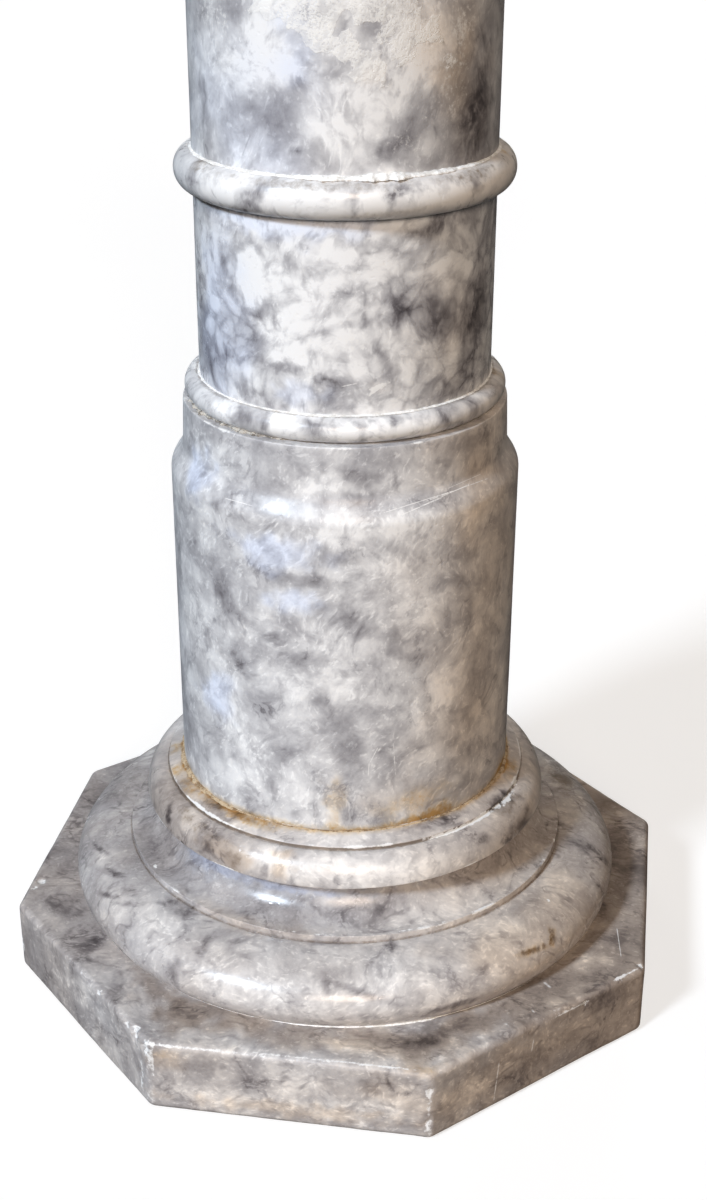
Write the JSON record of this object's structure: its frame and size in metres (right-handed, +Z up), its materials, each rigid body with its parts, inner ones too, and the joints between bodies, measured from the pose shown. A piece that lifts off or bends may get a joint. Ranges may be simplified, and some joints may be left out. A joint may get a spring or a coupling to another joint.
{
  "type": "marble column",
  "caption": "Turned marble pedestal column with an octagonal plinth, moulded base, beaded drums, plain shaft, bell capital and octagonal top slab that carries a display piece.",
  "frame": {"origin": "middle of the plinth's flat underside, on the floor", "axes": "+Z up the column's axis; two flat sides of the octagonal plinth face along X and two along Y; -Y is the front"},
  "size_m": [0.3, 0.3, 1.02],
  "materials": {
    "white_marble": "worn polish, white with thin grey veins",
    "grey_marble": "worn polish, white cloud cells in blue-grey",
    "dusty_marble": "worn polish, warm grey with dark veins"
  },
  "bodies": {
    "root": {"octagonal_plinth": "dusty_marble", "torus_base": "dusty_marble", "base_ring": "white_marble", "lower_drum": "grey_marble", "lower_bead": "white_marble", "middle_drum": "grey_marble", "upper_bead": "white_marble", "shaft": "grey_marble", "neck_bead": "white_marble", "bell_capital": "grey_marble", "octagonal_slab": "dusty_marble"}
  },
  "joints": []
}
